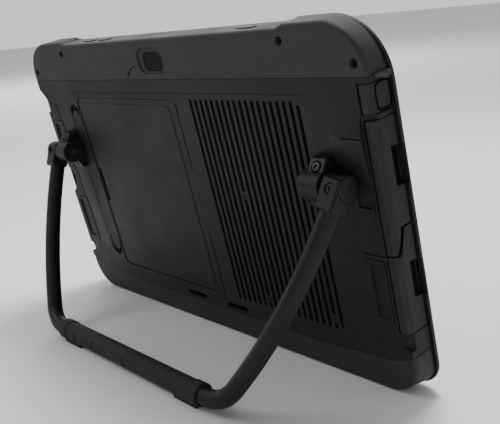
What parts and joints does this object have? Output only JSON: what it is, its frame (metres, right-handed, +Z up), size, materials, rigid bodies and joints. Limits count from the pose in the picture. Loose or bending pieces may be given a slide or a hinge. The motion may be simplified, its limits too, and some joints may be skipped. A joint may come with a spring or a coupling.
{
  "type": "rugged tablet computer",
  "caption": "Rugged field tablet with a swing-out bail that serves as stand and handle, a latched battery cover, a slotted vent and hinged port doors.",
  "frame": {"origin": "centre of the footprint, on the surface that the bottom edge and the bail's feet stand on", "axes": "+Z up, +X to the right seen from behind along the long side, +Y the way the screen faces"},
  "size_m": [0.345, 0.108, 0.2118],
  "materials": {
    "casing": "matte, fine moulded grain",
    "bezel": "matte",
    "bumper": "soft rubber over plastic, matte",
    "cover": "matte, fine moulded grain",
    "seal": "matte",
    "grip": "matte",
    "bail_paint": "satin powder coat",
    "steel": "brushed",
    "frame_metal": "as cast",
    "board": "solder mask",
    "battery": "matte",
    "contact": "plated",
    "socket": "satin",
    "glass": "polished"
  },
  "bodies": {
    "tablet": {"rear_casing": "casing", "front_bezel": "bezel", "touch_glass": "glass", "display_panel": "bezel", "bezel_gasket": "seal", "top_bumper": "bumper", "bottom_bumper": "bumper", "mid_frame": "frame_metal", "main_board": "board", "storage_card": "board", "radio_card": "board", "heat_sink": "frame_metal", "vent_screen": "bezel", "battery_pack": "battery", "battery_contacts": "contact", "camera_module": "bezel", "camera_window": "glass", "front_camera": "bezel", "antennas": "board", "speakers": "bezel", "dock_contacts": "contact", "right_ports": "socket", "left_ports": "socket", "door_pins": "steel", "strap_clips": "seal", "right_hinge_block": "casing", "left_hinge_block": "casing", "bumper_screws": "steel", "vent_screws": "steel", "hinge_screws": "steel"},
    "bail": {"hinge_washers": "steel", "hinge_axles": "steel", "right_bail_end": "bail_paint", "left_bail_end": "bail_paint", "bail_tube": "bail_paint", "grip_sleeve": "grip", "bail_feet": "grip", "bail_screws": "steel"},
    "battery_cover": {"battery_cover": "cover"},
    "upper_latch": {"upper_latch": "cover"},
    "lower_latch": {"lower_latch": "cover"},
    "right_upper_door": {"right_upper_door": "cover"},
    "right_lower_door": {"right_lower_door": "cover"},
    "left_upper_door": {"left_upper_door": "cover"},
    "left_lower_door": {"left_lower_door": "cover"},
    "hatch": {"hatch": "cover"},
    "power_button": {"power_button": "cover"},
    "volume_up": {"volume_up": "cover"},
    "volume_down": {"volume_down": "cover"},
    "upper_key": {"upper_key": "cover"},
    "middle_key": {"middle_key": "cover"},
    "lower_key": {"lower_key": "cover"}
  },
  "joints": [
    {"name": "bail_swing", "type": "hinge", "parent": "tablet", "child": "bail", "pos_m": [0, 0.00364, 0.12588], "axis": [-1, 0, 0], "range_deg": [-32.4, 145.1]},
    {"name": "cover_lift", "type": "slide", "parent": "tablet", "child": "battery_cover", "axis": [0, -0.9847, -0.1743], "range_m": [0, 0.03]},
    {"name": "upper_latch_slide", "type": "slide", "parent": "tablet", "child": "upper_latch", "axis": [0, -0.1743, 0.9847], "range_m": [0, 0.0044]},
    {"name": "lower_latch_slide", "type": "slide", "parent": "tablet", "child": "lower_latch", "axis": [0, 0.1743, -0.9847], "range_m": [0, 0.0044]},
    {"name": "right_upper_door_swing", "type": "hinge", "parent": "tablet", "child": "right_upper_door", "pos_m": [0.1643, 0.03745, -0.00026], "axis": [0, 0.1743, -0.9847], "range_deg": [0, 90]},
    {"name": "right_lower_door_swing", "type": "hinge", "parent": "tablet", "child": "right_lower_door", "pos_m": [0.1643, 0.03745, -0.00026], "axis": [0, 0.1743, -0.9847], "range_deg": [0, 90]},
    {"name": "hatch_swing", "type": "hinge", "parent": "tablet", "child": "hatch", "pos_m": [0.1643, 0.03745, -0.00026], "axis": [0, 0.1743, -0.9847], "range_deg": [0, 90]},
    {"name": "left_upper_door_swing", "type": "hinge", "parent": "tablet", "child": "left_upper_door", "pos_m": [-0.1643, 0.03745, -0.00026], "axis": [0, -0.1743, 0.9847], "range_deg": [0, 90]},
    {"name": "left_lower_door_swing", "type": "hinge", "parent": "tablet", "child": "left_lower_door", "pos_m": [-0.1643, 0.03745, -0.00026], "axis": [0, -0.1743, 0.9847], "range_deg": [0, 90]},
    {"name": "power_button_press", "type": "slide", "parent": "tablet", "child": "power_button", "axis": [0, 0.1743, -0.9847], "range_m": [0, 0.0008], "stiffness_N_per_m": 1500, "springref_m": -0.0005},
    {"name": "volume_up_press", "type": "slide", "parent": "tablet", "child": "volume_up", "axis": [0, 0.1743, -0.9847], "range_m": [0, 0.0008], "stiffness_N_per_m": 1500, "springref_m": -0.0005},
    {"name": "volume_down_press", "type": "slide", "parent": "tablet", "child": "volume_down", "axis": [0, 0.1743, -0.9847], "range_m": [0, 0.0008], "stiffness_N_per_m": 1500, "springref_m": -0.0005},
    {"name": "upper_key_press", "type": "slide", "parent": "tablet", "child": "upper_key", "axis": [0, -0.9847, -0.1743], "range_m": [0, 0.0008], "stiffness_N_per_m": 1500, "springref_m": -0.0005},
    {"name": "middle_key_press", "type": "slide", "parent": "tablet", "child": "middle_key", "axis": [0, -0.9847, -0.1743], "range_m": [0, 0.0008], "stiffness_N_per_m": 1500, "springref_m": -0.0005},
    {"name": "lower_key_press", "type": "slide", "parent": "tablet", "child": "lower_key", "axis": [0, -0.9847, -0.1743], "range_m": [0, 0.0008], "stiffness_N_per_m": 1500, "springref_m": -0.0005}
  ]
}
